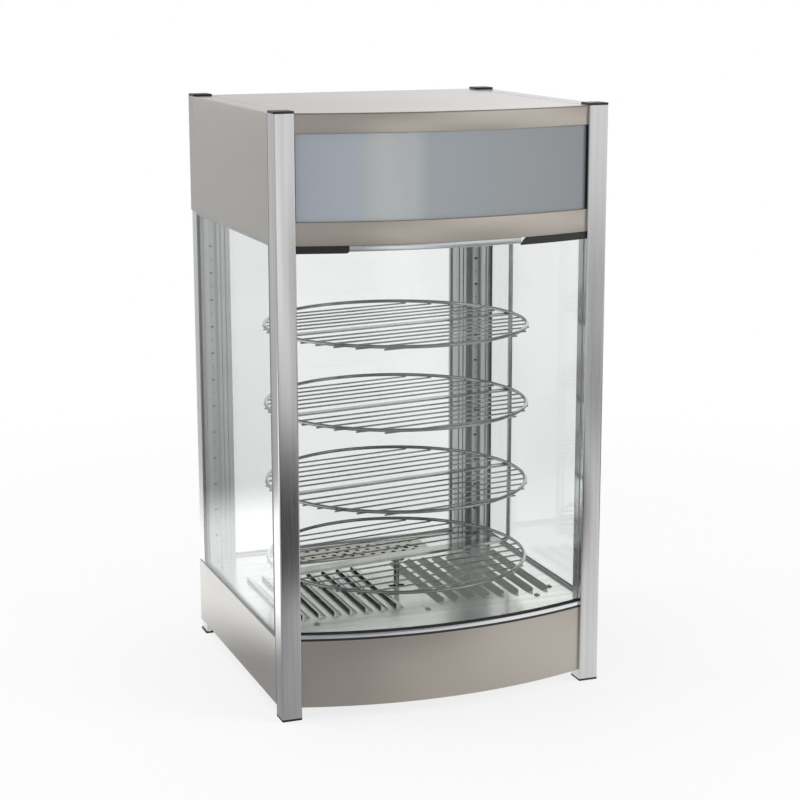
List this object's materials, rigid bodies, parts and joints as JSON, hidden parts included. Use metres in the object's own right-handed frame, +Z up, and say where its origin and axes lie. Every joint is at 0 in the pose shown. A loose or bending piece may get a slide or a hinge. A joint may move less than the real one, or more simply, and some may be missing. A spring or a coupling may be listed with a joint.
{
  "type": "heated display merchandiser",
  "caption": "Countertop heated display cabinet with a bowed glass front, glass sides and rear door, turning wire rack, louvred floor and header sign.",
  "frame": {"origin": "on the floor, midway between the four posts", "axes": "+Z up, +Y towards the rear door, +X to the right seen from the bowed front"},
  "size_m": [0.468, 0.4756, 0.813],
  "materials": {
    "brushed_aluminium": "brushed, satin",
    "side_paint": "fine taupe powder coat, slightly pearly",
    "front_paint": "satin warm grey metallic coat",
    "sign_acrylic": "translucent blue-grey, glossy",
    "black_plastic": "fine-grained moulded black",
    "black_rubber": "matt",
    "clear_glass": "clear, polished",
    "trim_metal": "bright satin",
    "stainless": "brushed",
    "zinc_steel": "dull zinc plated",
    "chrome_wire": "bright plated",
    "lamp_glass": "frosted white",
    "heater_steel": "heat-tinted",
    "bush_brass": "turned"
  },
  "bodies": {
    "cabinet": {"front_right_post": "brushed_aluminium", "front_left_post": "brushed_aluminium", "rear_right_post": "brushed_aluminium", "rear_left_post": "brushed_aluminium", "post_caps": "black_plastic", "foot_pads": "black_plastic", "base_front_panel": "front_paint", "front_seals": "black_rubber", "glass_bottom_trim": "trim_metal", "front_glass_gaskets": "black_rubber", "front_glass": "clear_glass", "glass_top_trim": "trim_metal", "front_glass_clips": "black_plastic", "header_bottom_rail": "front_paint", "sign_panel": "sign_acrylic", "header_top_rail": "front_paint", "sign_lamp": "lamp_glass", "lamp_bracket": "zinc_steel", "right_side_glass": "clear_glass", "left_side_glass": "clear_glass", "side_glass_gaskets": "black_rubber", "upper_right_panel": "side_paint", "upper_left_panel": "side_paint", "lower_right_panel": "side_paint", "lower_left_panel": "side_paint", "top_panel": "side_paint", "ceiling_panel": "stainless", "ceiling_bushing": "bush_brass", "rear_header_panel": "front_paint", "floor_plate": "stainless", "return_air_grille": "stainless", "base_pan": "zinc_steel", "shelf_standards": "stainless", "rack_gearmotor": "zinc_steel", "fan_housing": "black_plastic", "heating_element": "heater_steel", "door_magnet": "black_plastic", "door_pivot_brackets": "zinc_steel", "rear_control_panel": "front_paint", "thermostat": "black_plastic", "switch_housings": "black_plastic", "cord_gland": "black_plastic"},
    "rack": {"rack_rods": "chrome_wire", "rack_drive_bar": "chrome_wire", "rack_top_bar": "chrome_wire", "rack_tier_1": "chrome_wire", "rack_tier_2": "chrome_wire", "rack_tier_3": "chrome_wire", "rack_tier_4": "chrome_wire"},
    "door": {"door_hinge_stile": "brushed_aluminium", "door_free_stile": "brushed_aluminium", "door_rails": "brushed_aluminium", "door_glass": "clear_glass", "door_gasket": "black_rubber", "door_pull": "black_plastic", "door_strike": "zinc_steel"},
    "fan_impeller": {"fan_impeller": "black_plastic"},
    "thermostat_knob": {"thermostat_knob": "black_plastic"},
    "power_rocker": {"power_rocker": "black_plastic"},
    "light_rocker": {"light_rocker": "black_plastic"}
  },
  "joints": [
    {"name": "rack_spin", "type": "hinge", "parent": "cabinet", "child": "rack", "pos_m": [0, -0.0199, 0.11], "axis": [0, 0, 1], "continuous": true},
    {"name": "door_hinge", "type": "hinge", "parent": "cabinet", "child": "door", "pos_m": [0.194, 0.216, 0.0915], "axis": [0, 0, -1], "range_deg": [0, 110]},
    {"name": "fan_spin", "type": "hinge", "parent": "cabinet", "child": "fan_impeller", "pos_m": [0, 0.1535, 0.096], "axis": [0, 0, 1], "continuous": true},
    {"name": "thermostat_turn", "type": "hinge", "parent": "cabinet", "child": "thermostat_knob", "pos_m": [-0.11, 0.2085, 0.052], "axis": [0, -1, 0], "range_deg": [0, 300]},
    {"name": "power_rock", "type": "hinge", "parent": "cabinet", "child": "power_rocker", "pos_m": [-0.045, 0.2085, 0.052], "axis": [1, 0, 0], "range_deg": [0, 18]},
    {"name": "light_rock", "type": "hinge", "parent": "cabinet", "child": "light_rocker", "pos_m": [-0.005, 0.2085, 0.052], "axis": [1, 0, 0], "range_deg": [0, 18]}
  ]
}
